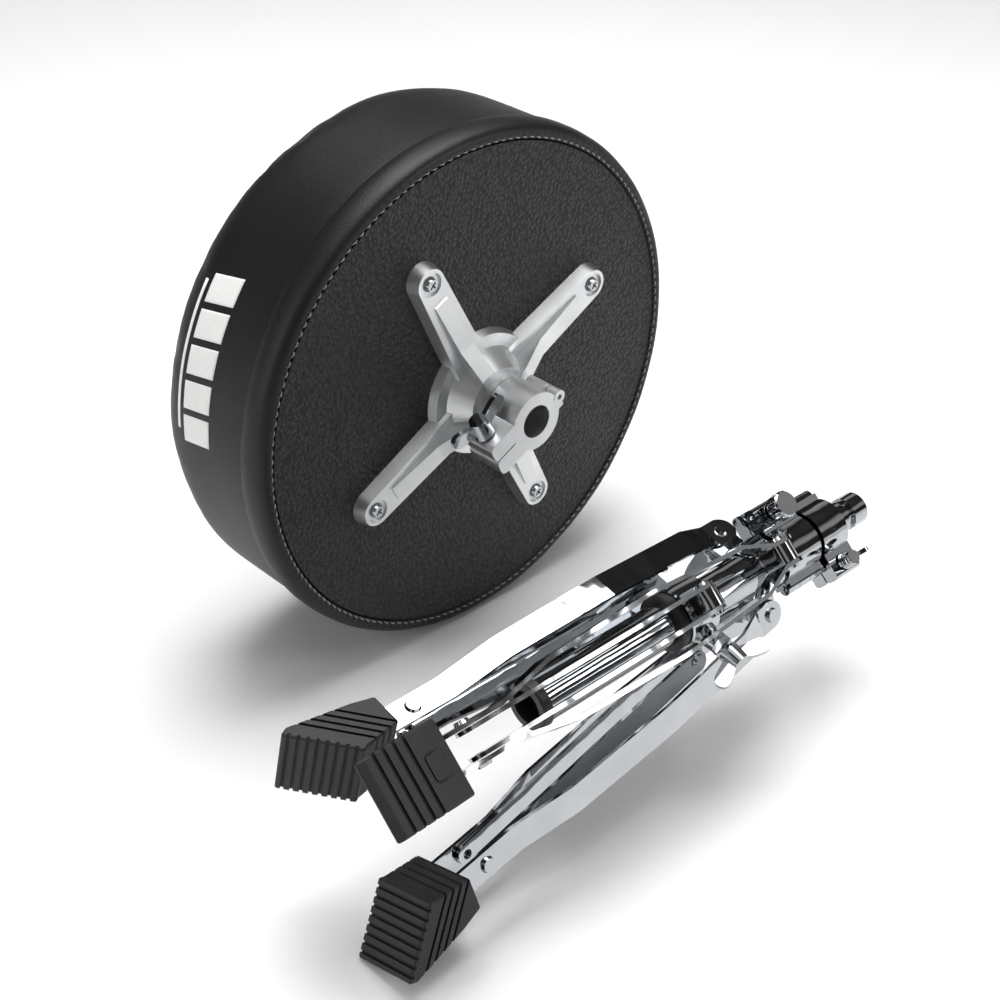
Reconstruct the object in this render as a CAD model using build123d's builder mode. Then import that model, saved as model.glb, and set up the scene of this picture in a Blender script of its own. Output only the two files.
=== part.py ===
from build123d import *
from math import asin, cos, degrees, radians, sin
import os

os.makedirs("parts", exist_ok=True)

# A round drum throne, taken apart: the seat stands on its rim and the folded
# tripod lies in front of it, its axis level and parallel to X.
# Millimetres, +Z up, origin on the floor under the middle of both.

# ---- where the two halves lie ----
TUBE_X = -83.86         # lower end of the tripod tube
TUBE_Y = -123.75        # tripod axis
TUBE_Z = 100.84          # tripod axis above the floor
SEAT_GAP_X = 131.9      # from the tube's lower end to the seat's centre
SEAT_GAP_Y = 185.6      # from the tripod axis to the seat's underside

# ---- seat ----
SEAT_R = 177.5          # 14 inch cushion
SEAT_T = 117.0
PANEL_R = 166.0
PANEL_T = 2.0
BOARD_R = 159.5
BOARD_T = 12.0
ARM_TURN = 26.7         # angle of one bracket arm from +X
SCREW_R = 106.0         # screws in the bracket arms
ARM_T = 9.0
HUB_R = 44.0
SOCKET_H = 54.0         # mouth of the post socket above the seat's underside
SOCKET_R = 11.22        # clamps a 22.2 mm post
SOCKET_OUT = 20.0
SEAT_BOLT = 30.0        # wing bolt from the socket's axis
SEAT_BOLT_Z = 40.6

# ---- tripod ----
TUBE_R = 14.0
TUBE_IN = 12.6
TUBE_TOP = 240.0
POST_R = 11.1           # 22.2 mm (7/8 inch) post
POST_LOW = 25.0
POST_END = 303.0
EAR_R = 31.0            # leg and brace pivots from the axis
TOP_EAR = 198.0         # leg pivots above the tube's lower end
LOW_EAR = 128.0         # brace pivots above the tube's lower end
LEG_L = 262.0           # leg pivot to brace pivot
BRACE_L = LEG_L - (TOP_EAR - LOW_EAR)
LEG_TURNS = (13.0, 133.0, 253.0)
LEG_OUT = (0.0, 0.0, 8.0)
NEAR_TURN = 133.0       # direction in which the clamp bolts point
STRAP_T = 2.5
STRAP_W = 19.0
BRACE_W = 14.0
EAR_T = 12.0
SIDE_GAP = 0.3
PIN_R = 3.0
PIN_FIT = 0.05
FOOT_W = 46.0
OPEN_TURN = 42.0        # a leg's angle from the tube when the tripod stands

SEAT = Plane(
    origin=(TUBE_X + SEAT_GAP_X, TUBE_Y + SEAT_GAP_Y, SEAT_R),
    x_dir=(1, 0, 0),
    z_dir=(0, -1, 0),
)


def save(part, name):
    part.label = name
    export_step(part, "parts/" + name + ".step")


def station(along, turn=0.0):
    """A plane square to the tripod's tube, its x axis turned about the tube."""
    a = radians(turn)
    return Plane(
        origin=(TUBE_X + along, TUBE_Y, TUBE_Z),
        x_dir=(0, cos(a), sin(a)),
        z_dir=(1, 0, 0),
    )


def outward(turn, lean=0.0):
    """Unit vector that leans away from the tube, towards the feet."""
    a = radians(turn)
    b = radians(lean)
    return Vector(-cos(b), sin(b) * cos(a), sin(b) * sin(a))


def side_plane(along, turn, lean):
    """x runs down the leg, y away from the tube, z along the leg's pivots."""
    a = radians(turn)
    return Plane(
        origin=(TUBE_X + along, TUBE_Y + EAR_R * cos(a), TUBE_Z + EAR_R * sin(a)),
        x_dir=outward(turn, lean),
        z_dir=(0, sin(a), -cos(a)),
    )


def edge_plane(along, turn, lean):
    """x runs down the leg, z away from the tube."""
    side = side_plane(along, turn, lean)
    return Plane(origin=side.origin, x_dir=side.x_dir, z_dir=side.y_dir)


def tube_ring(low, high, outer, inner, edge=0.0):
    with BuildPart() as ring:
        with BuildSketch(station(low)):
            Circle(outer)
            if inner > 0:
                Circle(inner, mode=Mode.SUBTRACT)
        extrude(amount=high - low)
        if edge > 0:
            rims = ring.edges().filter_by(GeomType.CIRCLE).sort_by(SortBy.RADIUS)
            chamfer(rims[-2:], edge)
    return ring.part


def headed_pin(plane, half, radius, head_r, head_t):
    """A rivet centred on the plane, with a domed head at each end."""
    with BuildPart() as pin:
        with BuildSketch(plane.offset(-half)):
            Circle(radius)
        extrude(amount=2 * half)
        for end in (-1, 1):
            with BuildSketch(plane.offset(end * half)):
                Circle(head_r)
            extrude(amount=end * head_t, taper=20)
    return pin.part


def wing_screw(plane, reach, shaft_r, hub_r, hub_t, span, height, thick, turn):
    """A wing bolt: the shaft goes back from the plane, the wings forward."""
    a = radians(turn)
    flat = Plane(
        origin=plane.origin,
        x_dir=plane.x_dir * cos(a) + plane.y_dir * sin(a),
        z_dir=(plane.x_dir * cos(a) + plane.y_dir * sin(a)).cross(plane.z_dir),
    )
    half = span / 2
    top = hub_t * 0.55 + height
    with BuildPart() as screw:
        with BuildSketch(plane):
            Circle(shaft_r)
        extrude(amount=-reach)
        with BuildSketch(plane):
            Circle(hub_r)
        extrude(amount=hub_t, taper=6)
        with BuildSketch(flat) as wings:
            with BuildLine():
                Polyline((0, hub_t * 0.2), (hub_r, hub_t * 0.25))
                Spline(
                    (hub_r, hub_t * 0.25),
                    (half * 0.72, hub_t * 0.5),
                    (half, top * 0.62),
                    (half * 0.93, top),
                    (half * 0.62, top * 0.98),
                    (hub_r * 0.75, hub_t * 0.95),
                )
                Polyline((hub_r * 0.75, hub_t * 0.95), (0, hub_t * 0.95), (0, hub_t * 0.2))
            make_face()
            mirror(about=Plane.YZ)
        extrude(amount=thick / 2, both=True)
    return screw.part


# ================= seat =================

cushion_side = Plane(origin=SEAT.origin, x_dir=(1, 0, 0), z_dir=(0, 0, 1))
seat_axis = Axis(SEAT.origin, (0, 1, 0))

with BuildPart() as seat_cushion:
    with BuildSketch(cushion_side):
        with BuildLine():
            Polyline((0, BOARD_T + PANEL_T), (BOARD_R + 0.5, BOARD_T + PANEL_T),
                     (BOARD_R + 0.5, PANEL_T), (PANEL_R, PANEL_T))
            Spline((PANEL_R, PANEL_T), (PANEL_R + 4.5, -0.9), (SEAT_R - 2.0, 4.5),
                   (SEAT_R, 17), tangents=((0.2, -1), (0, 1)))
            Line((SEAT_R, 17), (SEAT_R, SEAT_T - 29))
            Spline((SEAT_R, SEAT_T - 29), (SEAT_R - 6.5, SEAT_T - 15), (SEAT_R - 26, SEAT_T - 6.5),
                   tangents=((0, 1), (-1, 0.16)), tangent_scalars=(0.8, 0.8))
            Spline((SEAT_R - 26, SEAT_T - 6.5), (SEAT_R / 2, SEAT_T - 1.2), (0, SEAT_T),
                   tangents=((-1, 0.16), (-1, 0)))
            Line((0, SEAT_T), (0, BOARD_T + PANEL_T))
        make_face()
    revolve(axis=seat_axis)
save(seat_cushion.part, "seat_cushion")

screw_places = PolarLocations(SCREW_R, 4, start_angle=ARM_TURN)

with BuildPart() as seat_board:
    with BuildSketch(SEAT.offset(-PANEL_T)):
        Circle(BOARD_R)
    extrude(amount=-BOARD_T)
    with BuildSketch(SEAT.offset(-PANEL_T)):
        with screw_places:
            Circle(4.5)
    extrude(amount=-BOARD_T, mode=Mode.SUBTRACT)
    with BuildSketch(SEAT.offset(-PANEL_T - BOARD_T)):
        with screw_places:
            Circle(9.0)
    extrude(amount=1.6, mode=Mode.SUBTRACT)
save(seat_board.part, "seat_board")

with BuildPart() as underside_panel:
    with BuildSketch(SEAT):
        Circle(PANEL_R)
        with screw_places:
            Circle(3.4, mode=Mode.SUBTRACT)
    extrude(amount=-PANEL_T)
save(underside_panel.part, "underside_panel")

with BuildPart() as board_nuts:
    with BuildSketch(SEAT.offset(-PANEL_T - BOARD_T)):
        with screw_places:
            Circle(9.0)
            Circle(3.0, mode=Mode.SUBTRACT)
    extrude(amount=1.6)
    with BuildSketch(SEAT.offset(-PANEL_T - BOARD_T + 1.6)):
        with screw_places:
            Circle(4.5)
            Circle(3.0, mode=Mode.SUBTRACT)
    extrude(amount=BOARD_T - 2.6)
save(board_nuts.part, "board_nuts")

with BuildPart() as bracket_screws:
    with BuildSketch(SEAT.offset(-PANEL_T - BOARD_T + 2)):
        with screw_places:
            Circle(3.0)
    extrude(amount=PANEL_T + BOARD_T - 2 + ARM_T - 2)
    with BuildSketch(SEAT.offset(ARM_T - 2)):
        with screw_places:
            Circle(5.2)
    extrude(amount=3.4, taper=22)
    for turn in (0, 90):
        with BuildSketch(SEAT.offset(ARM_T + 1.4)):
            with screw_places:
                Rectangle(5.4, 1.3, rotation=turn + 20)
        extrude(amount=-1.6, mode=Mode.SUBTRACT)
save(bracket_screws.part, "bracket_screws")

# The socket's own plane: x points out of the jaw, y towards the wing bolt.
JAW_TURN = ARM_TURN + 90
jaw_a = radians(JAW_TURN)
SOCKET = Plane(
    origin=SEAT.origin,
    x_dir=SEAT.x_dir * cos(jaw_a) + SEAT.y_dir * sin(jaw_a),
    z_dir=SEAT.z_dir,
)
JAW_LOW = 27.0
HINGE_OUT = SOCKET_OUT + 2.5
KNUCKLE_R = 4.6

with BuildPart() as seat_bracket:
    # four arms, wide at the hub and round at the tips, with sloped sides
    for k in range(4):
        arm_a = radians(ARM_TURN + 90 * k)
        arm = Plane(
            origin=SEAT.origin,
            x_dir=SEAT.x_dir * cos(arm_a) + SEAT.y_dir * sin(arm_a),
            z_dir=SEAT.z_dir,
        )
        with BuildSketch(arm):
            Polygon((0, -16), (SCREW_R, -12.6), (SCREW_R, 12.6), (0, 16), align=None)
            with Locations((SCREW_R, 0)):
                Circle(12.6)
        extrude(amount=ARM_T, taper=14)
        # raised rib that grows into the hub
        rib = Plane(origin=arm.origin, x_dir=arm.x_dir, z_dir=arm.x_dir.cross(arm.z_dir))
        with BuildSketch(rib):
            Polygon((10, 2), (SCREW_R - 12, 2), (SCREW_R - 16, ARM_T + 1.2),
                    (HUB_R + 6, ARM_T + 4.5), (26, ARM_T + 13), (10, ARM_T + 13), align=None)
        extrude(amount=5.5, both=True)
    with BuildSketch(SEAT):
        Circle(HUB_R)
    extrude(amount=6, taper=20)
    with BuildSketch(SEAT.offset(5)):
        Circle(34)
    extrude(amount=15, taper=35)
    with BuildSketch(SEAT.offset(4)):
        Circle(SOCKET_OUT)
    extrude(amount=SOCKET_H - 4)
    # ear for the wing bolt and eye for the hinge on the fixed half
    with BuildSketch(SOCKET.offset(JAW_LOW)):
        with Locations((-6.5, SEAT_BOLT - 5)):
            RectangleRounded(13, 26, 4)
    extrude(amount=SOCKET_H - JAW_LOW)
    with BuildSketch(SOCKET.offset(JAW_LOW)):
        with Locations((0, -HINGE_OUT)):
            Circle(KNUCKLE_R)
        with Locations((-4, -HINGE_OUT + 3)):
            Rectangle(7, 7)
    extrude(amount=SOCKET_H - JAW_LOW)
    # room for the jaw and for its hinge eye
    with BuildSketch(SOCKET.offset(JAW_LOW)):
        with Locations((30.8, 0)):
            Rectangle(60, 120)
    extrude(amount=40, mode=Mode.SUBTRACT)
    with BuildSketch(SOCKET.offset(JAW_LOW)):
        with Locations((0, -HINGE_OUT)):
            Circle(KNUCKLE_R)
    extrude(amount=SOCKET_H - JAW_LOW)
    with BuildSketch(SOCKET.offset(JAW_LOW + 8.7)):
        with Locations((0, -HINGE_OUT)):
            Circle(KNUCKLE_R + 0.6)
        with Locations((3.5, -HINGE_OUT + 3)):
            Rectangle(8, 7.4)
    extrude(amount=9.6, mode=Mode.SUBTRACT)
    with BuildSketch(SOCKET.offset(JAW_LOW)):
        with Locations((0, -HINGE_OUT)):
            Circle(2.0)
    extrude(amount=40, mode=Mode.SUBTRACT)
    with BuildSketch(SEAT.offset(4)):
        Circle(SOCKET_R)
    extrude(amount=60, mode=Mode.SUBTRACT)
    # screw holes with shallow seats
    with BuildSketch(SEAT):
        with screw_places:
            Circle(3.4)
    extrude(amount=ARM_T, mode=Mode.SUBTRACT)
    with BuildSketch(SEAT.offset(ARM_T - 2)):
        with screw_places:
            Circle(8.0)
    extrude(amount=4, mode=Mode.SUBTRACT)
    bolt_hole = Plane(
        origin=SOCKET.origin + SOCKET.y_dir * SEAT_BOLT + SOCKET.z_dir * SEAT_BOLT_Z,
        x_dir=SOCKET.z_dir,
        z_dir=SOCKET.x_dir,
    )
    with BuildSketch(bolt_hole.offset(-30)):
        Circle(3.05)
    extrude(amount=30, mode=Mode.SUBTRACT)
save(seat_bracket.part, "seat_bracket")

with BuildPart() as socket_jaw:
    with BuildSketch(SOCKET.offset(JAW_LOW + 0.4)):
        Circle(SOCKET_OUT)
        with Locations((6.5, SEAT_BOLT - 5)):
            RectangleRounded(13, 26, 4)
        with Locations((-30 + 0.8, 0)):
            Rectangle(60, 120, mode=Mode.SUBTRACT)
    extrude(amount=SOCKET_H - JAW_LOW - 0.4)
    with BuildSketch(SOCKET.offset(JAW_LOW + 9.0)):
        with Locations((0, -HINGE_OUT)):
            Circle(KNUCKLE_R)
        with Locations((4.3, -HINGE_OUT + 3)):
            Rectangle(7, 7)
    extrude(amount=9.0)
    for low, high in ((JAW_LOW, JAW_LOW + 8.8), (JAW_LOW + 18.2, SOCKET_H)):
        with BuildSketch(SOCKET.offset(low)):
            with Locations((0, -HINGE_OUT)):
                Circle(KNUCKLE_R + 0.6)
        extrude(amount=high - low, mode=Mode.SUBTRACT)
    with BuildSketch(SOCKET.offset(JAW_LOW)):
        Circle(SOCKET_R)
        with Locations((0, -HINGE_OUT)):
            Circle(2.06)
    extrude(amount=40, mode=Mode.SUBTRACT)
    with BuildSketch(bolt_hole):
        Circle(3.5)
    extrude(amount=30, mode=Mode.SUBTRACT)
save(socket_jaw.part, "socket_jaw")

with BuildPart() as socket_hinge_pin:
    with BuildSketch(SOCKET.offset(JAW_LOW)):
        with Locations((0, -HINGE_OUT)):
            Circle(2.0)
    extrude(amount=SOCKET_H - JAW_LOW - 1.2)
save(socket_hinge_pin.part, "socket_hinge_pin")

seat_bolt_plane = bolt_hole.offset(14.2)
save(wing_screw(seat_bolt_plane, 26, 3.0, 7.0, 13, 45, 9.0, 3.4, 90), "seat_wing_bolt")

# ================= tripod tube and post =================

save(tube_ring(4, TUBE_TOP, TUBE_R, TUBE_IN), "base_tube")

with BuildPart() as tube_plug:
    with BuildSketch(station(-3)):
        Circle(15.4)
    extrude(amount=7)
    with BuildSketch(station(4)):
        Circle(TUBE_IN)
    extrude(amount=14)
    with BuildSketch(station(-3)):
        Circle(10.5)
    extrude(amount=12, mode=Mode.SUBTRACT)
    fillet(tube_plug.edges().filter_by(GeomType.CIRCLE).sort_by(Axis.X)[0:1], 1.2)
save(tube_plug.part, "tube_plug")

save(tube_ring(185, TUBE_TOP, TUBE_IN, POST_R + 0.06), "post_sleeve")
save(tube_ring(POST_LOW + 14, POST_END - 22, POST_R, POST_R - 1.6), "post_tube")

with BuildPart() as post_foot:
    with BuildSketch(station(POST_LOW)):
        Circle(TUBE_IN - 0.1)
    extrude(amount=14)
    with BuildSketch(station(POST_LOW + 14)):
        Circle(POST_R - 1.6)
    extrude(amount=12)
save(post_foot.part, "post_foot")

with BuildPart() as post_cap:
    with BuildSketch(station(POST_END - 34)):
        Circle(POST_R - 1.6)
    extrude(amount=12)
    with BuildSketch(station(POST_END - 22)):
        Circle(POST_R)
    extrude(amount=2)
    with BuildSketch(station(POST_END - 20)):
        Circle(POST_R - 2.2)
    extrude(amount=6)
    with BuildSketch(station(POST_END - 14)):
        Circle(POST_R)
    extrude(amount=14)
    chamfer(post_cap.edges().filter_by(GeomType.CIRCLE).sort_by(Axis.X)[-1:], 1.6)
save(post_cap.part, "post_cap")

# ================= collars =================


def ear(along, turn, low_r):
    """The solid of one pivot ear, standing out from a collar."""
    with BuildPart(mode=Mode.PRIVATE) as lug:
        with BuildSketch(side_plane(along, turn, 0)):
            Circle(7.4)
        extrude(amount=EAR_T / 2, both=True)
        with BuildSketch(side_plane(along, turn, 0)):
            with Locations((0, -(EAR_R - low_r) / 2)):
                Rectangle(14.8, EAR_R - low_r)
        extrude(amount=EAR_T / 2, both=True)
    return lug.part


def pivot_hole(along, turn, radius):
    with BuildPart(mode=Mode.PRIVATE) as hole:
        with BuildSketch(side_plane(along, turn, 0)):
            Circle(radius)
        extrude(amount=20, both=True)
    return hole.part


with BuildPart() as upper_collar:
    add(tube_ring(TOP_EAR - 9, TOP_EAR + 9, 18.5, TUBE_R, 0.8))
    for turn in LEG_TURNS:
        add(ear(TOP_EAR, turn, 16.5))
    with BuildSketch(station(TOP_EAR - 12)):
        Circle(TUBE_R)
    extrude(amount=24, mode=Mode.SUBTRACT)
    for turn in LEG_TURNS:
        add(pivot_hole(TOP_EAR, turn, PIN_R), mode=Mode.SUBTRACT)
save(upper_collar.part, "upper_collar")

COLLAR_IN = 16.4
COLLAR_OUT = 20.5
LOCK_TURN = 193.0

with BuildPart() as slide_collar:
    add(tube_ring(LOW_EAR - 10, LOW_EAR + 14, COLLAR_OUT, COLLAR_IN, 1.0))
    for turn in LEG_TURNS:
        add(ear(LOW_EAR, turn, 18.5))
    lock = radians(LOCK_TURN)
    boss = Plane(
        origin=(TUBE_X + LOW_EAR + 2, TUBE_Y + 18 * cos(lock), TUBE_Z + 18 * sin(lock)),
        x_dir=(1, 0, 0),
        z_dir=(0, cos(lock), sin(lock)),
    )
    with BuildSketch(boss):
        Circle(7.5)
    extrude(amount=13, taper=4)
    with BuildSketch(station(LOW_EAR - 12)):
        Circle(COLLAR_IN)
    extrude(amount=30, mode=Mode.SUBTRACT)
    with BuildSketch(boss.offset(-6)):
        Circle(3.55)
    extrude(amount=30, mode=Mode.SUBTRACT)
    for turn in LEG_TURNS:
        add(pivot_hole(LOW_EAR, turn, PIN_R), mode=Mode.SUBTRACT)
save(slide_collar.part, "slide_collar")

with BuildPart() as collar_bushing:
    add(tube_ring(LOW_EAR - 10, LOW_EAR + 14, COLLAR_IN, TUBE_R + 0.08))
    add(tube_ring(LOW_EAR - 17, LOW_EAR - 10, 18.6, TUBE_R + 0.08, 1.0))
save(collar_bushing.part, "collar_bushing")

save(wing_screw(boss.offset(20), 20.6, 3.5, 7.2, 12, 42, 9.5, 3.2, 20), "collar_wing_bolt")

with BuildPart() as collar_jam_nut:
    with BuildSketch(boss.offset(13.3)):
        RegularPolygon(7.2, 6)
        Circle(3.55, mode=Mode.SUBTRACT)
    extrude(amount=4.2)
save(collar_jam_nut.part, "collar_jam_nut")

# ================= height clamp and memory lock =================


def clamp_frame(along):
    """A station whose x axis points out of the jaw."""
    return station(along, NEAR_TURN)


def clamp_bolt_plane(low, high, bolt_y):
    base = clamp_frame((low + high) / 2)
    return Plane(
        origin=base.origin + base.y_dir * bolt_y,
        x_dir=base.z_dir,
        z_dir=base.x_dir,
    )


def clamp_half(low, high, outer, inner, hinge, bolt_y, side):
    """One half of a two-part clamp; side -1 is fixed, side 1 is the jaw."""
    frame = clamp_frame(low)
    long = high - low
    eye = hinge * (outer + 2.6)
    third = long / 3
    with BuildPart(mode=Mode.PRIVATE) as half:
        with BuildSketch(frame):
            Circle(outer)
            with Locations((side * 5.5, bolt_y + hinge * 4)):
                RectangleRounded(11, 24, 3)
            with Locations((side * 4, eye - hinge * 3.2)):
                Rectangle(7, 7)
        extrude(amount=long)
        with BuildSketch(frame):
            with Locations((-side * 29.4, 0)):
                Rectangle(60, 140)
        extrude(amount=long, mode=Mode.SUBTRACT)
        with BuildSketch(frame):
            with Locations((0, eye)):
                Circle(4.6)
        extrude(amount=long)
        spans = ((third, 2 * third),) if side < 0 else ((0, third), (2 * third, long))
        for a, b in spans:
            with BuildSketch(frame.offset(a - 0.15)):
                with Locations((0, eye)):
                    Circle(5.2)
            extrude(amount=b - a + 0.3, mode=Mode.SUBTRACT)
        with BuildSketch(frame):
            Circle(inner)
            with Locations((0, eye)):
                Circle(2.0 if side < 0 else 2.06)
        extrude(amount=long, mode=Mode.SUBTRACT)
        with BuildSketch(clamp_bolt_plane(low, high, bolt_y)):
            Circle(3.05 if side < 0 else 3.45)
        extrude(amount=side * 30, mode=Mode.SUBTRACT)
    return half.part


def clamp_pin(low, high, outer, hinge):
    with BuildPart() as pin:
        with BuildSketch(clamp_frame(low - 0.8)):
            with Locations((0, hinge * (outer + 2.6))):
                Circle(2.0)
        extrude(amount=high - low + 1.6)
    return pin.part


HC_LOW = 211.0
HC_HIGH = 243.0
HC_OUT = 18.5
HC_BOLT = -25.5
save(clamp_half(HC_LOW, HC_HIGH, HC_OUT, TUBE_R, 1, HC_BOLT, -1), "height_clamp_body")
save(clamp_half(HC_LOW, HC_HIGH, HC_OUT, TUBE_R + 0.3, 1, HC_BOLT, 1), "height_clamp_jaw")
save(clamp_pin(HC_LOW, HC_HIGH, HC_OUT, 1), "height_clamp_pin")

ML_LOW = 246.0
ML_HIGH = 270.0
ML_OUT = 19.0
ML_BOLT = 25.5
save(clamp_half(ML_LOW, ML_HIGH, ML_OUT, POST_R + 0.08, -1, ML_BOLT, -1), "memory_lock_body")
save(clamp_half(ML_LOW, ML_HIGH, ML_OUT, POST_R + 0.4, -1, ML_BOLT, 1), "memory_lock_jaw")
save(clamp_pin(ML_LOW, ML_HIGH, ML_OUT, -1), "memory_lock_pin")

knob_plane = clamp_bolt_plane(HC_LOW, HC_HIGH, HC_BOLT).offset(12.4)
with BuildPart() as height_clamp_knob:
    with BuildSketch(knob_plane):
        Circle(3.0)
    extrude(amount=-24)
    with BuildSketch(knob_plane):
        Circle(6.0)
    extrude(amount=3)
    with BuildSketch(knob_plane.offset(3)):
        Circle(9.0)
    extrude(amount=10)
    chamfer(height_clamp_knob.edges().filter_by(GeomType.CIRCLE).sort_by(SortBy.RADIUS)[-2:], 1.2)
    with BuildSketch(knob_plane.offset(3)):
        with PolarLocations(9.4, 18):
            Circle(0.9)
    extrude(amount=10, mode=Mode.SUBTRACT)
save(height_clamp_knob.part, "height_clamp_knob")

key_plane = clamp_bolt_plane(ML_LOW, ML_HIGH, ML_BOLT).offset(12.4)
save(wing_screw(key_plane, 24, 3.0, 5.6, 9, 26, 6.5, 3.0, 0), "memory_lock_key")

with BuildPart() as memory_lock_band:
    add(tube_ring(ML_HIGH + 0.4, ML_HIGH + 4.4, POST_R + 3.4, POST_R + 0.08, 0.8))
save(memory_lock_band.part, "memory_lock_band")

# ================= legs, braces and feet =================

LEG_IN = EAR_T / 2 + SIDE_GAP
FOOT_IN = LEG_IN + STRAP_T + 0.6
LEG_TIP = LEG_L + 34.0
LEG_PATH = (
    (-12.0, LEG_IN),
    (11.0, LEG_IN),
    (34.0, LEG_IN + 8.6),
    (112.0, LEG_IN + 13.0),
    (196.0, LEG_IN + 11.0),
    (238.0, FOOT_IN),
    (LEG_TIP, FOOT_IN),
)


def bent_strap(edge, path, side, thick, width, length, tip_r):
    """A flat bar bent across its thickness, with round ends, on one side."""
    inner = [(a, -side * v) for a, v in path]
    outer = [(a, -side * (v + thick)) for a, v in reversed(path)]
    face = Plane(origin=edge.origin, x_dir=edge.x_dir, z_dir=edge.y_dir)
    with BuildPart(mode=Mode.PRIVATE) as strap:
        with BuildSketch(edge):
            Polygon(*inner, *outer, align=None)
        extrude(amount=width / 2, both=True)
        with BuildSketch(face):
            with Locations((0, 0)):
                Circle(width / 2)
            Polygon((0, -width / 2), (0, width / 2), (length, tip_r), (length, -tip_r),
                    align=None)
            with Locations((length, 0)):
                Circle(tip_r)
        extrude(amount=40, both=True, mode=Mode.INTERSECT)
    return strap.part


def leg_straps(turn, lean):
    edge = edge_plane(TOP_EAR, turn, lean)
    side = side_plane(TOP_EAR, turn, lean)
    with BuildPart() as straps:
        for s in (-1, 1):
            add(bent_strap(edge, LEG_PATH, s, STRAP_T, STRAP_W, LEG_TIP - 8, 8.0))
        with BuildSketch(side):
            Circle(PIN_R + PIN_FIT)
            with Locations((LEG_L, 0)):
                Circle(PIN_R)
        extrude(amount=30, both=True, mode=Mode.SUBTRACT)
    return straps.part


def brace_straps(turn, lean):
    edge = edge_plane(LOW_EAR, turn, lean)
    side = side_plane(LOW_EAR, turn, lean)
    path = ((-12.0, LEG_IN), (BRACE_L + 12.0, LEG_IN))
    with BuildPart() as straps:
        for s in (-1, 1):
            add(bent_strap(edge, path, s, STRAP_T, BRACE_W, BRACE_L, 6.5))
        with BuildSketch(side):
            Circle(PIN_R + PIN_FIT)
            with Locations((BRACE_L, 0)):
                Circle(PIN_R)
        extrude(amount=30, both=True, mode=Mode.SUBTRACT)
    return straps.part


def foot_rivets(turn, lean):
    """Two stubs, one through each outer strap, with domed heads outside."""
    side = side_plane(TOP_EAR, turn, lean)
    with BuildPart() as rivets:
        for s in (-1, 1):
            with BuildSketch(side.offset(s * FOOT_IN)):
                with Locations((LEG_L, 0)):
                    Circle(PIN_R)
            extrude(amount=s * STRAP_T)
            with BuildSketch(side.offset(s * (FOOT_IN + STRAP_T))):
                with Locations((LEG_L, 0)):
                    Circle(5.0)
            extrude(amount=s * 2.0, taper=25)
    return rivets.part


SOLE_A = (LEG_L + 48.0, -15.2)
SOLE_LONG = 46.0
SOLE_DIR = (sin(radians(OPEN_TURN)), cos(radians(OPEN_TURN)))
SOLE_B = (SOLE_A[0] + SOLE_LONG * SOLE_DIR[0], SOLE_A[1] + SOLE_LONG * SOLE_DIR[1])
MOUTH = LEG_L + 20.0
GROOVE = 1.5


def foot_outline():
    """The foot's outline from the side: mouth, sole, and a back that slopes to the mouth."""
    with BuildSketch(mode=Mode.PRIVATE) as outline:
        Polygon((MOUTH, -9.8), (SOLE_A[0] - 3, -13.6), SOLE_A, SOLE_B,
                (SOLE_B[0] - 6, SOLE_B[1] + 2.5), (MOUTH + 14, 15), (MOUTH, 11.2),
                align=None)
    return outline.sketch_local


def face_plane(side, start, end):
    """A plane on the flat face between two outline points, facing away from the tube."""
    first = side.from_local_coords(Vector(start[0], start[1], 0))
    last = side.from_local_coords(Vector(end[0], end[1], 0))
    along = (last - first).normalized()
    return Plane(origin=first, x_dir=along, z_dir=side.z_dir.cross(along))


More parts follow.
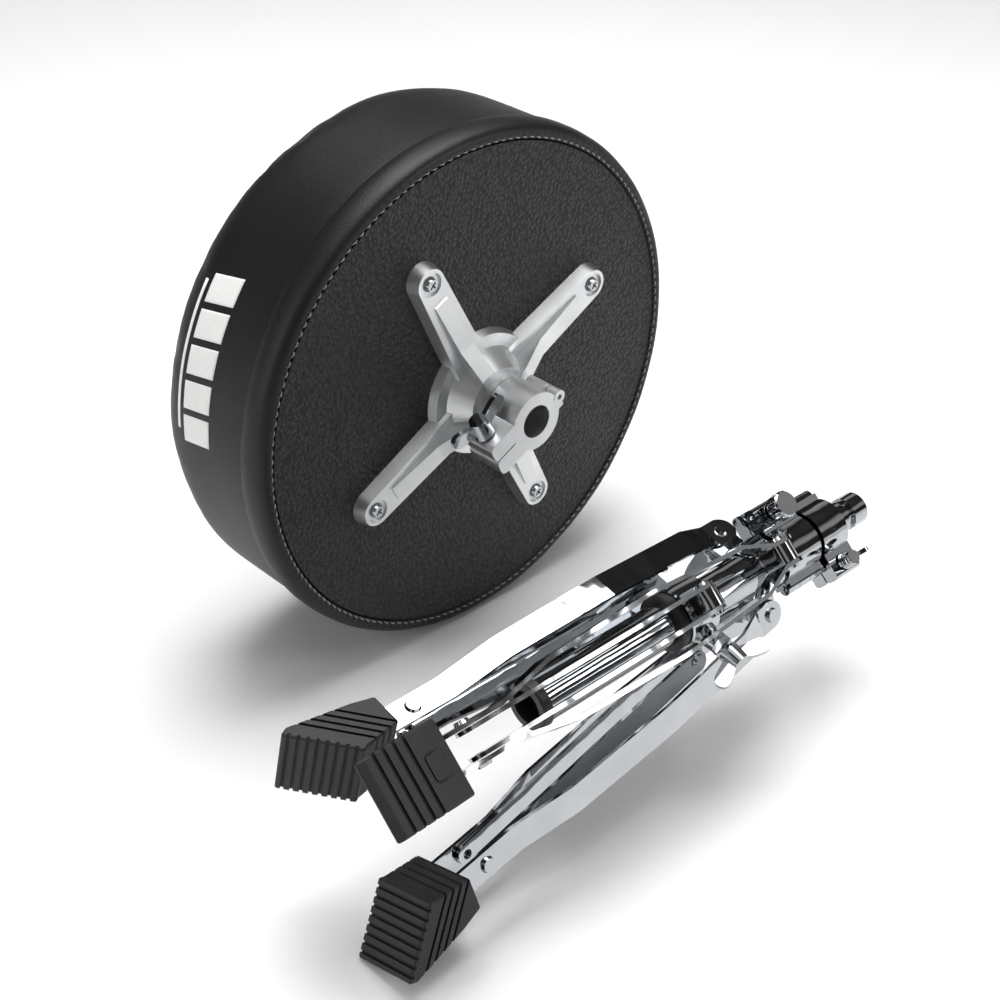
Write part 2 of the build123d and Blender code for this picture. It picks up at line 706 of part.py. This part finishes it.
def rubber_foot(turn, lean):
    """A wedge block whose sole lies flat once the leg stands open."""
    side = side_plane(TOP_EAR, turn, lean)
    sole_x = side.x_dir * SOLE_DIR[0] + side.y_dir * SOLE_DIR[1]
    sole_up = side.x_dir * -SOLE_DIR[1] + side.y_dir * SOLE_DIR[0]
    corner = side.origin + side.x_dir * SOLE_A[0] + side.y_dir * SOLE_A[1]
    sole = Plane(origin=corner, x_dir=sole_x, z_dir=sole_up)
    with BuildPart() as foot:
        with BuildSketch(side):
            add(foot_outline())
        extrude(amount=FOOT_W / 2, both=True)
        fillet(foot.edges().filter_by(lambda e: abs(e.length - FOOT_W) < 0.01), 1.6)
        fillet(foot.faces().sort_by(Axis(side.origin, side.z_dir))[-1].edges(), 1.5)
        fillet(foot.faces().sort_by(Axis(side.origin, side.z_dir))[0].edges(), 1.5)
        # tread across the sole
        for k in range(8):
            tread = Plane(
                origin=corner + sole_x * (4.6 + 5.25 * k),
                x_dir=side.z_dir,
                z_dir=sole_up,
            )
            with BuildSketch(tread.offset(-1)):
                Rectangle(FOOT_W + 4, 2.0)
            extrude(amount=3.2, mode=Mode.SUBTRACT)
        # grooves all round, level with the sole, and a plain sunk frame on the outer face
        with BuildPart(mode=Mode.PRIVATE) as rings:
            for k in range(4):
                with BuildSketch(sole.offset(9.0 + 4.6 * k)):
                    with Locations((20, 0)):
                        Rectangle(140, 90)
                extrude(amount=1.7)
            with BuildSketch(side):
                offset(foot_outline(), amount=-GROOVE, kind=Kind.INTERSECTION)
            extrude(amount=FOOT_W / 2 - GROOVE, both=True, mode=Mode.SUBTRACT)
        add(rings.part, mode=Mode.SUBTRACT)
        with BuildSketch(face_plane(side, (MOUTH + 14, 15), (SOLE_B[0] - 6, SOLE_B[1] + 2.5))):
            with Locations((-1.0, 0)):
                RectangleRounded(14, 17, 3)
                RectangleRounded(11.6, 14.6, 2, mode=Mode.SUBTRACT)
        extrude(amount=-0.9, mode=Mode.SUBTRACT)
        # pocket for the strap ends, open wide between them
        with BuildSketch(side):
            Polygon((MOUTH - 1, -8.2), (LEG_TIP + 0.3, -8.2), (LEG_TIP + 0.3, 8.2),
                    (MOUTH - 1, 8.2), align=None)
        extrude(amount=FOOT_IN + STRAP_T + 0.05, both=True, mode=Mode.SUBTRACT)
    return foot.part


def brace_lean(lean):
    """The brace angle that puts its end on the leg's lower pivot."""
    return degrees(asin(LEG_L * sin(radians(lean)) / BRACE_L))


for number in range(3):
    turn = LEG_TURNS[number]
    lean = LEG_OUT[number]
    tail = "_" + str(number + 1)
    top_side = side_plane(TOP_EAR, turn, 0)
    low_side = side_plane(LOW_EAR, turn, 0)
    reach = LEG_IN + STRAP_T + 0.1
    save(leg_straps(turn, lean), "leg_straps" + tail)
    save(brace_straps(turn, brace_lean(lean)), "brace_straps" + tail)
    save(foot_rivets(turn, lean), "foot_rivets" + tail)
    save(rubber_foot(turn, lean), "rubber_foot" + tail)
    save(headed_pin(top_side, reach, PIN_R, 5.0, 2.0), "leg_pivot" + tail)
    save(headed_pin(low_side, reach, PIN_R, 5.0, 2.0), "brace_pivot" + tail)
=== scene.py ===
from math import cos, pi, radians, sin

import bmesh
import bpy
from mathutils import Matrix, Vector, noise
from mathutils.bvhtree import BVHTree


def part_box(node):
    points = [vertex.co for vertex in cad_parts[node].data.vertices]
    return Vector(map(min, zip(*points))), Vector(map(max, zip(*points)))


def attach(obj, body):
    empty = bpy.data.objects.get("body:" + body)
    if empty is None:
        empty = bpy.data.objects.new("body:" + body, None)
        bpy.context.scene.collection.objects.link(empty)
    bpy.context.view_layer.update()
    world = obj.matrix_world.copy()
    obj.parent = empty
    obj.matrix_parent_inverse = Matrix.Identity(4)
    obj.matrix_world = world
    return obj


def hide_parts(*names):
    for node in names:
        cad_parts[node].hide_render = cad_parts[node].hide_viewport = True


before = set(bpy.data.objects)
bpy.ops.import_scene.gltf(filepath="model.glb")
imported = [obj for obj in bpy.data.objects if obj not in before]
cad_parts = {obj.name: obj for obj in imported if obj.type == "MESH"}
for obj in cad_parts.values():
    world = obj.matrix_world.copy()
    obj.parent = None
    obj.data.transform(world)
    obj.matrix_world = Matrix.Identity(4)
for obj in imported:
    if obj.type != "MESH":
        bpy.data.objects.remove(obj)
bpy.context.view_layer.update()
MM = 0.001


# ---------------------------------------------------------------- materials

def linear(code):
    """An sRGB hex colour as linear RGBA."""
    parts = [int(code[i:i + 2], 16) / 255 for i in (1, 3, 5)]
    low = [c / 12.92 if c <= 0.04045 else ((c + 0.055) / 1.055) ** 2.4 for c in parts]
    return (*low, 1.0)


def add_node(tree, kind, inputs=None, **settings):
    """Adds a node; an input given a socket is linked, and any other value is set."""
    made = tree.nodes.new(kind)
    for name, value in settings.items():
        setattr(made, name, value)
    for name, value in (inputs or {}).items():
        if isinstance(value, bpy.types.NodeSocket):
            tree.links.new(value, made.inputs[name])
        else:
            made.inputs[name].default_value = value
    return made


def new_material(name, **shader):
    """A material with one Principled shader, and its place on the object in metres."""
    mat = bpy.data.materials.new(name)
    mat.use_nodes = True
    tree = mat.node_tree
    body = tree.nodes["Principled BSDF"]
    for key, value in shader.items():
        body.inputs[key.replace("_", " ")].default_value = value
    place = add_node(tree, "ShaderNodeTexCoord").outputs["Object"]
    return mat, tree, body, place


def tone(tree, body, factor, low, high):
    """The colour runs from low to high as factor goes from 0 to 1."""
    mix = add_node(tree, "ShaderNodeMix", {"Factor": factor, "A": linear(low), "B": linear(high)},
                   data_type="RGBA")
    tree.links.new(mix.outputs["Result"], body.inputs["Base Color"])


def gloss(tree, body, factor, low, high):
    """The roughness runs from low to high as factor goes from 0 to 1."""
    spread = add_node(tree, "ShaderNodeMapRange",
                      {"Value": factor, "To Min": low, "To Max": high})
    tree.links.new(spread.outputs["Result"], body.inputs["Roughness"])


def relief(tree, body, height, depth, strength=1.0):
    """A bump as deep as depth says, in metres."""
    bump = add_node(tree, "ShaderNodeBump",
                    {"Height": height, "Distance": depth, "Strength": strength})
    tree.links.new(bump.outputs["Normal"], body.inputs["Normal"])


def smooth_vinyl():
    """PVC upholstery vinyl, calendered: fine 1 mm grain, a soft even sheen."""
    mat, tree, body, place = new_material("smooth upholstery vinyl", IOR=1.52,
                                          Specular_IOR_Level=0.3)
    grain = add_node(tree, "ShaderNodeTexVoronoi", {"Vector": place, "Scale": 820.0},
                     feature="SMOOTH_F1")
    broad = add_node(tree, "ShaderNodeTexNoise", {"Vector": place, "Scale": 26.0, "Detail": 3.0})
    tone(tree, body, broad.outputs["Fac"], "#070708", "#0D0D0E")
    gloss(tree, body, broad.outputs["Fac"], 0.40, 0.52)
    relief(tree, body, grain.outputs["Distance"], 0.00016, 0.55)
    return mat


def pebbled_vinyl():
    """PVC vinyl embossed with a leather pebble about 3 mm across, its domes smoother; the creases
    between the domes carry painted shade and the dome tops are painted lighter.
    """
    mat, tree, body, place = new_material("pebble grain vinyl", IOR=1.52,
                                          Specular_IOR_Level=0.4)
    drift = add_node(tree, "ShaderNodeTexNoise", {"Vector": place, "Scale": 160.0, "Detail": 2.0})
    bent = add_node(tree, "ShaderNodeMix",
                    {"Factor": 0.0022, "A": place, "B": drift.outputs["Color"]},
                    data_type="VECTOR")
    cells = add_node(tree, "ShaderNodeTexVoronoi",
                     {"Vector": bent.outputs["Result"], "Scale": 360.0, "Smoothness": 0.3},
                     feature="SMOOTH_F1")
    domes = add_node(tree, "ShaderNodeMapRange",
                     {"Value": cells.outputs["Distance"], "From Min": 0.2, "From Max": 0.75,
                      "To Min": 1.0, "To Max": 0.0})
    # Painted shade: the colour darkens in the creases between the pebble domes and lightens on
    # their tops, following the bump.
    tone(tree, body, domes.outputs["Result"], "#040405", "#0E0E0F")
    gloss(tree, body, domes.outputs["Result"], 0.65, 0.38)
    relief(tree, body, domes.outputs["Result"], 0.0008, 0.9)
    return mat


def sewing_thread():
    """Bonded polyester thread, grey, its strands wound tightly; the twist is drawn as painted
    shade and painted highlight bands in the colour.
    """
    mat, tree, body, place = new_material("grey polyester thread", Roughness=0.6)
    wound = add_node(tree, "ShaderNodeTexWave", {"Vector": place, "Scale": 900.0})
    # Painted light and shade: darker grooves and lighter crowns of the twisted strands, drawn in
    # the colour.
    tone(tree, body, wound.outputs["Fac"], "#5C5C5C", "#A6A6A4")
    return mat


def cast_aluminium():
    """Die-cast aluminium, tumbled: a soft bright satin with a fine sandy skin."""
    mat, tree, body, place = new_material("tumbled die-cast aluminium", Metallic=1.0)
    sand = add_node(tree, "ShaderNodeTexNoise", {"Vector": place, "Scale": 1500.0, "Detail": 4.0})
    cloud = add_node(tree, "ShaderNodeTexNoise", {"Vector": place, "Scale": 45.0, "Detail": 3.0})
    tone(tree, body, cloud.outputs["Fac"], "#C0C2C3", "#E4E5E6")
    gloss(tree, body, sand.outputs["Fac"], 0.30, 0.46)
    relief(tree, body, sand.outputs["Fac"], 0.00008, 0.5)
    return mat


def chrome_plate():
    """Bright chrome plate on pressed steel: a near mirror, faintly wavy and hazed."""
    mat, tree, body, place = new_material("bright chrome plate", Metallic=1.0)
    haze = add_node(tree, "ShaderNodeTexNoise", {"Vector": place, "Scale": 60.0, "Detail": 4.0})
    waves = add_node(tree, "ShaderNodeTexNoise", {"Vector": place, "Scale": 42.0, "Detail": 1.0})
    tone(tree, body, haze.outputs["Fac"], "#A6A8AB", "#BCBEC0")
    gloss(tree, body, haze.outputs["Fac"], 0.03, 0.09)
    relief(tree, body, waves.outputs["Fac"], 0.0012, 0.5)
    return mat


def zinc_plate():
    """Zinc-plated steel: dull and slightly crystalline."""
    mat, tree, body, place = new_material("zinc plated steel", Metallic=1.0)
    spangle = add_node(tree, "ShaderNodeTexVoronoi", {"Vector": place, "Scale": 400.0})
    tone(tree, body, spangle.outputs["Distance"], "#9A9C9E", "#C2C4C4")
    gloss(tree, body, spangle.outputs["Distance"], 0.35, 0.5)
    return mat


def moulded_nylon():
    """Black nylon 6, injection moulded: a low satin."""
    mat, tree, body, place = new_material("black moulded nylon", IOR=1.53)
    skin = add_node(tree, "ShaderNodeTexNoise", {"Vector": place, "Scale": 700.0, "Detail": 3.0})
    tone(tree, body, skin.outputs["Fac"], "#101011", "#1A1A1B")
    gloss(tree, body, skin.outputs["Fac"], 0.38, 0.52)
    relief(tree, body, skin.outputs["Fac"], 0.00005, 0.4)
    return mat


def moulded_rubber():
    """Black SBR rubber, moulded in a spark-eroded tool: matt with a fine grit."""
    mat, tree, body, place = new_material("black moulded rubber", IOR=1.52)
    grit = add_node(tree, "ShaderNodeTexNoise", {"Vector": place, "Scale": 1300.0, "Detail": 5.0})
    dust = add_node(tree, "ShaderNodeTexNoise", {"Vector": place, "Scale": 70.0, "Detail": 3.0})
    tone(tree, body, dust.outputs["Fac"], "#0F0F10", "#1A1A1B")
    gloss(tree, body, grit.outputs["Fac"], 0.50, 0.72)
    relief(tree, body, grit.outputs["Fac"], 0.00022, 0.7)
    return mat


def birch_plywood():
    """Birch plywood: pale wood with long grain, sanded."""
    mat, tree, body, place = new_material("birch plywood", Roughness=0.6)
    grain = add_node(tree, "ShaderNodeTexWave",
                     {"Vector": place, "Scale": 55.0, "Distortion": 6.0, "Detail": 3.0})
    tone(tree, body, grain.outputs["Fac"], "#C9A873", "#DDC297")
    return mat


def printed_white():
    """Plastisol screen print: matt white, slightly uneven at the edges."""
    mat, tree, body, place = new_material("white screen print", Roughness=0.55)
    cover = add_node(tree, "ShaderNodeTexNoise", {"Vector": place, "Scale": 500.0, "Detail": 3.0})
    tone(tree, body, cover.outputs["Fac"], "#E2E2E0", "#F4F4F2")
    return mat


def studio_paper():
    """Seamless white paper: matt, with the faintest mottling."""
    mat, tree, body, place = new_material("studio paper", Roughness=0.9)
    pulp = add_node(tree, "ShaderNodeTexNoise", {"Vector": place, "Scale": 3.0})
    tone(tree, body, pulp.outputs["Fac"], "#F7F7F7", "#FBFBFB")
    return mat


FINISH = {
    "vinyl": smooth_vinyl(),
    "pebble": pebbled_vinyl(),
    "thread": sewing_thread(),
    "cast": cast_aluminium(),
    "chrome": chrome_plate(),
    "zinc": zinc_plate(),
    "nylon": moulded_nylon(),
    "rubber": moulded_rubber(),
    "ply": birch_plywood(),
    "print": printed_white(),
}

MADE_OF = {
    "seat_board": "ply",
    "underside_panel": "pebble",
    "board_nuts": "zinc",
    "seat_bracket": "cast",
    "socket_jaw": "cast",
    "tube_plug": "nylon",
    "post_sleeve": "nylon",
    "post_foot": "nylon",
    "collar_bushing": "nylon",
    "rubber_foot_1": "rubber",
    "rubber_foot_2": "rubber",
    "rubber_foot_3": "rubber",
}

for name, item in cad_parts.items():
    item.data.materials.clear()
    item.data.materials.append(FINISH[MADE_OF.get(name, "chrome")])


# ---------------------------------------------------------------- seat cushion

low, high = (Vector(c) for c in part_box("seat_cushion"))
panel_low, panel_high = (Vector(c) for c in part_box("underside_panel"))
SEAT_MID = Vector(((low.x + high.x) / 2, panel_low.y, (low.z + high.z) / 2))
SEAT_R = (high.x - low.x) / 2
SEAT_T = high.y - panel_low.y
PANEL_R = (panel_high.x - panel_low.x) / 2
FLOOR_GAP = 0.3 * MM
FRAMES = 20
MOST_MOVE = 3.0 * MM
BOARD_R = (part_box("seat_board")[1][0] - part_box("seat_board")[0][0]) / 2


def seat_point(radius, turn, depth):
    """A point at that radius and angle round the seat, and depth in from its underside."""
    return SEAT_MID + Vector((radius * cos(turn), depth, radius * sin(turn)))


def from_bmesh(name, shape, finish):
    """A smooth-shaded object of that mesh and that finish."""
    bmesh.ops.recalc_face_normals(shape, faces=shape.faces)
    mesh = bpy.data.meshes.new(name)
    shape.to_mesh(mesh)
    shape.free()
    mesh.materials.append(finish)
    mesh.polygons.foreach_set("use_smooth", [True] * len(mesh.polygons))
    item = bpy.data.objects.new(name, mesh)
    bpy.context.collection.objects.link(item)
    return item


def turned(name, profile, steps, closed):
    """A vinyl object that spins a profile of (radius, depth) round the seat's axis."""
    shape = bmesh.new()
    rings = []
    for radius, depth in profile:
        if radius < 1e-6:
            rings.append([shape.verts.new(seat_point(0, 0, depth))])
        else:
            rings.append([shape.verts.new(seat_point(radius, 2 * pi * k / steps, depth))
                          for k in range(steps)])
    pairs = list(zip(rings, rings[1:]))
    if closed:
        pairs.append((rings[-1], rings[0]))
    for a, b in pairs:
        for k in range(steps):
            n = (k + 1) % steps
            corners = [a[k % len(a)], a[n % len(a)], b[n % len(b)], b[k % len(b)]]
            unique = list(dict.fromkeys(corners))
            if len(unique) > 2:
                shape.faces.new(unique)
    return from_bmesh(name, shape, FINISH["vinyl"])


def apply_modifiers(item):
    """Makes each modifier of the object part of its mesh."""
    bpy.context.view_layer.objects.active = item
    for mod in list(item.modifiers):
        bpy.ops.object.modifier_apply(modifier=mod.name)


def puff(item, pinned, cap):
    """Pressure fills the cover; no point may move further than cap."""
    mesh = item.data
    start = [v.co.copy() for v in mesh.vertices]
    held = item.vertex_groups.new(name="held")
    held.add([i for i, p in enumerate(start) if pinned(p)], 1.0, "REPLACE")
    cloth = item.modifiers.new("Cloth", "CLOTH")
    cloth.settings.quality = 5
    cloth.settings.mass = 0.4
    cloth.settings.tension_stiffness = 40
    cloth.settings.compression_stiffness = 40
    cloth.settings.shear_stiffness = 20
    cloth.settings.bending_stiffness = 4
    cloth.settings.use_pressure = True
    cloth.settings.uniform_pressure_force = 4
    cloth.settings.effector_weights.gravity = 0
    cloth.settings.vertex_group_mass = "held"
    cloth.point_cache.frame_start, cloth.point_cache.frame_end = 1, FRAMES
    for number in range(1, FRAMES + 1):
        bpy.context.scene.frame_set(number)
    apply_modifiers(item)
    for vert, was in zip(item.data.vertices, start):
        move = vert.co - was
        if move.length > cap:
            vert.co = was + move * (cap / move.length)


def seat_profile(inset):
    """The cushion's section: flat back round the board, rolled edge, side and crown."""
    r, t = SEAT_R - inset, SEAT_T - inset
    back = 14.6 * MM
    return [
        (0, back), (60 * MM, back), (110 * MM, back), (BOARD_R + 0.9 * MM, back),
        (BOARD_R + 0.9 * MM, 2.6 * MM), (PANEL_R + 0.6 * MM, 2.4 * MM),
        (PANEL_R + 2.4 * MM, 0.2 * MM), (r - 5.5 * MM, -0.4 * MM), (r - 2.6 * MM, 2.2 * MM),
        (r - 0.8 * MM, 7.0 * MM), (r - 0.2 * MM, 15 * MM), (r, 30 * MM), (r, 48 * MM),
        (r, 66 * MM), (r - 0.2 * MM, 84 * MM), (r - 1.6 * MM, t - 22 * MM),
        (r - 5.6 * MM, t - 13 * MM), (r - 13 * MM, t - 8.0 * MM), (r - 26 * MM, t - 5.2 * MM),
        (r - 60 * MM, t - 2.8 * MM), (90 * MM, t - 1.4 * MM), (45 * MM, t - 0.4 * MM), (0, t),
    ]


cushion = turned("cushion_cover", seat_profile(1.6 * MM), 128, False)
remesh = cushion.modifiers.new("Even", "REMESH")
remesh.mode = "VOXEL"
remesh.voxel_size = 4.5 * MM
apply_modifiers(cushion)


def on_the_back(p):
    """True where the cover is stapled to the board."""
    r = Vector((p.x - SEAT_MID.x, p.z - SEAT_MID.z)).length
    return p.y - SEAT_MID.y < 16 * MM and r < SEAT_R - 6 * MM


puff(cushion, on_the_back, MOST_MOVE)


def settle(item):
    """Faint dimples in the cover, kept inside the cushion's size and above the floor."""
    for vert in item.data.vertices:
        flat = Vector((vert.co.x - SEAT_MID.x, 0, vert.co.z - SEAT_MID.z))
        depth = vert.co.y - SEAT_MID.y
        if depth > 22 * MM:
            soft = noise.noise(vert.co * 16) * 0.7 + noise.noise(vert.co * 41) * 0.3
            if flat.length > SEAT_R - 14 * MM:
                vert.co += flat.normalized() * soft * 0.4 * MM
            else:
                vert.co.y += soft * 0.9 * MM
        reach = Vector((vert.co.x - SEAT_MID.x, 0, vert.co.z - SEAT_MID.z))
        most = SEAT_R + 0.6 * MM
        if reach.length > most:
            vert.co -= reach.normalized() * (reach.length - most)
        vert.co.z = max(vert.co.z, FLOOR_GAP)
        if reach.length < BOARD_R + 0.6 * MM:
            vert.co.y = max(vert.co.y, SEAT_MID.y + 14.3 * MM)


settle(cushion)
smoother = cushion.modifiers.new("Fine", "SUBSURF")
smoother.levels = smoother.render_levels = 1
apply_modifiers(cushion)
cushion.data.materials.clear()
cushion.data.materials.append(FINISH["vinyl"])
cushion.data.polygons.foreach_set("use_smooth", [True] * len(cushion.data.polygons))
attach(cushion, "seat")
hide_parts("seat_cushion")

# The turned hem: vinyl pulled over the edge, gathered a little by the stitches.
HEM_OUT = [0.4, 0.5, 1.8, 4.4, 7.2, 9.4, 10.8, 11.5, 11.5, 10.6, 9.9, 8.6, 6.6, 4.0, 2.0]
HEM_IN = [2.1, 0.9, -0.5, -1.3, -0.6, 1.7, 5.4, 11.0, 17.0, 19.0, 11.0, 5.8, 2.6, 1.4, 2.2]
STITCHES = 170
STITCH_LONG = 4.4 * MM
THREAD_R = [0.26, 0.44, 0.50, 0.52, 0.50, 0.44, 0.26]

hem = turned("turned_hem", [(PANEL_R + r * MM, d * MM) for r, d in zip(HEM_OUT, HEM_IN)],
             STITCHES * 4, True)
for vert in hem.data.vertices:
    x, z = vert.co.x - SEAT_MID.x, vert.co.z - SEAT_MID.z
    radius = Vector((x, z)).length
    turn = Vector((1, 0)).angle_signed(Vector((x, z)), 0)
    nearness = max(0.0, 1 - abs(radius - PANEL_R - 2 * MM) / (6 * MM))
    vert.co.y += 0.28 * MM * nearness * cos(turn * STITCHES)
    vert.co.y += 0.5 * MM * noise.noise(vert.co * 30)
    vert.co.z = max(vert.co.z, 0.2 * MM)
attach(hem, "seat")


def thread_run(shape, points, radii, sides=8):
    """A closed strand through the points, as thick as radii says at each."""
    rings = []
    for number, (point, radius) in enumerate(zip(points, radii)):
        before, after = points[max(number - 1, 0)], points[min(number + 1, len(points) - 1)]
        along = (after - before).normalized()
        across = along.cross(Vector((0, 1, 0))).normalized()
        upright = along.cross(across)
        rings.append([shape.verts.new(point + radius * (cos(a) * across + sin(a) * upright))
                      for a in (2 * pi * k / sides for k in range(sides))])
    for a, b in zip(rings, rings[1:]):
        for k in range(sides):
            n = (k + 1) % sides
            shape.faces.new((a[k], a[n], b[n], b[k]))
    shape.faces.new(rings[0][::-1])
    shape.faces.new(rings[-1])


def stitch_points(number):
    """The path of one stitch over the hem, highest in its middle."""
    middle = 2 * pi * (number + 0.5) / STITCHES
    wander = noise.noise(Vector((number * 0.7, 0, 0)))
    points = []
    for step in range(len(THREAD_R)):
        part = step / (len(THREAD_R) - 1) - 0.5
        turn = middle + part * STITCH_LONG / PANEL_R
        lift = -1.25 * MM + 5.6 * MM * part * part
        radius = PANEL_R + (2.3 + 0.35 * wander + 0.7 * part) * MM
        points.append(seat_point(radius, turn, lift))
    return points


row = bmesh.new()
for number in range(STITCHES):
    thread_run(row, stitch_points(number), [r * MM for r in THREAD_R])
stitching = from_bmesh("hem_stitching", row, FINISH["thread"])
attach(stitching, "seat")


# ---------------------------------------------------------------- printed bars

cover = BVHTree.FromObject(cushion, bpy.context.evaluated_depsgraph_get())


def on_cover(turn, depth):
    """The point on the cushion's side at that angle and depth, and the way it faces."""
    outside = seat_point(SEAT_R + 30 * MM, turn, depth)
    inward = (seat_point(0, turn, depth) - outside).normalized()
    spot, facing, _, _ = cover.ray_cast(outside, inward)
    return spot, facing


INK_UP = 0.30 * MM
INK_DOWN = 0.15 * MM


def printed_bar(shape, turn_a, turn_b, depth_a, depth_b, slant):
    """A slanted bar of ink, just proud of the cover: angles in degrees, depths in mm."""
    across, down = 14, 12
    rows = []
    for j in range(down + 1):
        depth = depth_a + (depth_b - depth_a) * j / down
        shift = slant * (j / down - 0.5)
        line = []
        for i in range(across + 1):
            turn = radians(turn_a + (turn_b - turn_a) * i / across + shift)
            spot, facing = on_cover(turn, depth * MM)
            line.append((shape.verts.new(spot + facing * INK_UP),
                         shape.verts.new(spot - facing * INK_DOWN)))
        rows.append(line)
    for j in range(down):
        for i in range(across):
            for side in (0, 1):
                shape.faces.new([rows[j][i][side], rows[j][i + 1][side],
                                 rows[j + 1][i + 1][side], rows[j + 1][i][side]])
    edge = ([rows[0][i] for i in range(across + 1)]
            + [rows[j][across] for j in range(1, down + 1)]
            + [rows[down][i] for i in range(across - 1, -1, -1)]
            + [rows[j][0] for j in range(down - 1, 0, -1)])
    for a, b in zip(edge, edge[1:] + edge[:1]):
        shape.faces.new([a[0], b[0], b[1], a[1]])


BAR_WIDE, BAR_PITCH, BAR_FIRST = 6.0, 7.5, 143.5
ink = bmesh.new()
for number in range(5):
    first = BAR_FIRST + number * BAR_PITCH
    printed_bar(ink, first, first + BAR_WIDE, 52, 78, 1.6)
printed_bar(ink, 146.0, 178.0, 82, 84.5, 0)
bars = from_bmesh("printed_bars", ink, FINISH["print"])
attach(bars, "seat")


# ---------------------------------------------------------------- floor, light and camera

def flat_sheet(name, size, place, finish):
    """A level square sheet centred on place."""
    shape = bmesh.new()
    half = size / 2
    shape.faces.new([shape.verts.new(Vector(place) + Vector((x * half, y * half, 0)))
                     for x, y in ((-1, -1), (1, -1), (1, 1), (-1, 1))])
    return from_bmesh(name, shape, finish)


floor = flat_sheet("paper_floor", 12.0, (0, 0, -0.0005), studio_paper())


def softbox(name, size, place, aim, watts):
    """A rectangular lamp at place, turned to aim."""
    lamp = bpy.data.lights.new(name, "AREA")
    lamp.shape = "RECTANGLE"
    lamp.size, lamp.size_y = size
    lamp.energy = watts
    item = bpy.data.objects.new(name, lamp)
    item.location = place
    item.rotation_euler = (Vector(aim) - Vector(place)).to_track_quat("-Z", "Y").to_euler()
    bpy.context.collection.objects.link(item)


softbox("overhead", (1.3, 1.3), (0.3, 0.3, 1.9), (0, 0, 0.1), 36)
softbox("left_strip", (0.3, 1.4), (-1.7, 0.5, 0.9), (0, 0, 0.15), 7)
softbox("front_fill", (0.7, 0.9), (1.1, -1.7, 1.0), (0, 0, 0.15), 12)

# Bands of bright and dark from the horizon to the zenith, for the chrome to mirror.
world = bpy.data.worlds.new("studio")
bpy.context.scene.world = world
world.use_nodes = True
sky = world.node_tree
upward = add_node(sky, "ShaderNodeTexCoord").outputs["Generated"]
height = add_node(sky, "ShaderNodeSeparateXYZ", {"Vector": upward}).outputs["Z"]
bands = add_node(sky, "ShaderNodeValToRGB", {"Fac": height})
ramp = bands.color_ramp
ramp.elements[0].position, ramp.elements[0].color = 0.0, (1, 1, 1, 1)
ramp.elements[1].position, ramp.elements[1].color = 1.0, (1, 1, 1, 1)
for spot, level in ((0.05, 0.95), (0.12, 0.02), (0.36, 0.02), (0.45, 0.42), (0.56, 0.34),
                    (0.63, 0.02), (0.80, 0.06), (0.88, 0.9)):
    ramp.elements.new(spot).color = (level, level, level, 1)
sky.links.new(bands.outputs["Color"], sky.nodes["Background"].inputs["Color"])
sky.nodes["Background"].inputs["Strength"].default_value = 1.05

# The camera stands off from the middle of the tripod tube.
lens = bpy.data.cameras.new("camera")
lens.lens, lens.sensor_width = 64.8, 36.0
camera = bpy.data.objects.new("camera", lens)
ahead = Vector((0.58046, 0.60195, -0.54838)).normalized()
side = ahead.cross(Vector((0.36994, 0.405, 0.83614))).normalized()
above = side.cross(ahead)
tube_low, tube_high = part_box("base_tube")
camera.matrix_world = Matrix.Translation(
    (tube_low + tube_high) / 2 + Vector((-0.6855, -0.5573, 0.65876))) @ Matrix(
    (side, above, -ahead)).transposed().to_4x4()
bpy.context.collection.objects.link(camera)
bpy.context.scene.camera = camera
bpy.context.scene.view_settings.view_transform = "Standard"
